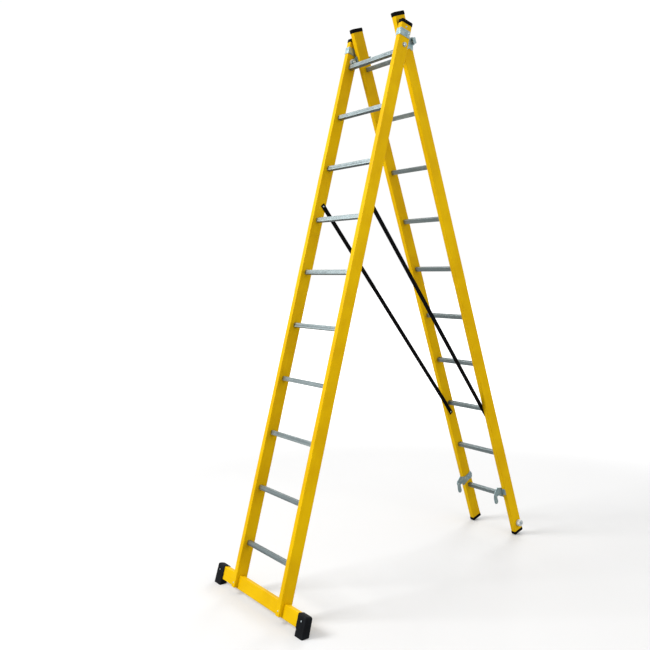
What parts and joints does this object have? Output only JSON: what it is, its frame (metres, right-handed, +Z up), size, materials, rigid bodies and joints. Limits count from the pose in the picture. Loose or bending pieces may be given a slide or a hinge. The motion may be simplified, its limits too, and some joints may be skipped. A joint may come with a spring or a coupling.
{
  "type": "extension ladder",
  "caption": "Two-section fibreglass ladder with ribbed rungs, cross bar and webbing straps; stands as an A-frame, folds shut and runs out.",
  "frame": {"origin": "middle of the footprint, on the ground, with the ladder standing open", "axes": "+Z up, +X across the ladder, +Y from the front (climbing) section to the rear section"},
  "size_m": [0.816, 1.738, 2.8691],
  "materials": {
    "fibreglass": "satin pultruded yellow glass fibre",
    "rung_aluminium": "mill finish, ribbed",
    "black_plastic": "moulded, fine grain",
    "black_rubber": "moulded rubber",
    "webbing": "woven polyester webbing",
    "white_nylon": "turned nylon",
    "zinc_sheet": "blue passivated zinc plate",
    "bright_steel": "bright zinc plate"
  },
  "bodies": {
    "front_section": {"front_stile_left": "fibreglass", "front_stile_right": "fibreglass", "front_rungs": "rung_aluminium", "front_top_cap_left": "black_plastic", "front_top_cap_right": "black_plastic", "front_collar_left": "zinc_sheet", "front_collar_right": "zinc_sheet", "collar_rivets": "bright_steel", "cap_rivets": "bright_steel", "stabiliser_bar": "fibreglass", "bar_foot_left": "black_rubber", "bar_foot_right": "black_rubber", "bar_screws": "bright_steel", "foot_screws": "bright_steel", "pivot_bolts": "bright_steel", "pivot_nuts": "bright_steel", "pivot_spacer_left": "white_nylon", "pivot_spacer_right": "white_nylon", "strap_left": "webbing", "strap_right": "webbing", "strap_rivets_front": "bright_steel"},
    "hinge_carrier": {"carrier_left": "zinc_sheet", "carrier_right": "zinc_sheet", "guide_pins": "bright_steel"},
    "rear_section": {"rear_stile_left": "fibreglass", "rear_stile_right": "fibreglass", "rear_rungs": "rung_aluminium", "rear_top_cap_left": "black_plastic", "rear_top_cap_right": "black_plastic", "rear_foot_cap_left": "black_plastic", "rear_foot_cap_right": "black_plastic", "rung_hook_left": "zinc_sheet", "rung_hook_right": "zinc_sheet", "hook_rivets": "bright_steel", "catch_rivets": "bright_steel", "roller_axles": "bright_steel", "strap_rivets_rear": "bright_steel"},
    "left_catch": {"catch_left": "zinc_sheet"},
    "right_catch": {"catch_right": "zinc_sheet"},
    "left_roller": {"guide_roller_left": "white_nylon"},
    "right_roller": {"guide_roller_right": "white_nylon"}
  },
  "joints": [
    {"name": "fold", "type": "hinge", "parent": "front_section", "child": "hinge_carrier", "pos_m": [0, -0.03469, 2.68839], "axis": [-1, 0, 0], "range_deg": [0, 33.55], "deforming": ["strap_left", "strap_right"]},
    {"name": "slide", "type": "slide", "parent": "hinge_carrier", "child": "rear_section", "axis": [0, -0.2907, 0.9568], "range_m": [0, 1.96]},
    {"name": "left_catch_swing", "type": "hinge", "parent": "rear_section", "child": "left_catch", "pos_m": [-0.1463, 0.66942, 0.2656], "axis": [-1, 0, 0], "range_deg": [0, 80], "stiffness_Nm_per_rad": 0.05, "springref_deg": -28.65},
    {"name": "right_catch_swing", "type": "hinge", "parent": "rear_section", "child": "right_catch", "pos_m": [0.1463, 0.66942, 0.2656], "axis": [-1, 0, 0], "range_deg": [0, 80], "stiffness_Nm_per_rad": 0.05, "springref_deg": -28.65},
    {"name": "left_roller_spin", "type": "hinge", "parent": "rear_section", "child": "left_roller", "pos_m": [-0.193, 0.82564, 0.07478], "axis": [1, 0, 0], "continuous": true},
    {"name": "right_roller_spin", "type": "hinge", "parent": "rear_section", "child": "right_roller", "pos_m": [0.193, 0.82564, 0.07478], "axis": [1, 0, 0], "continuous": true}
  ]
}
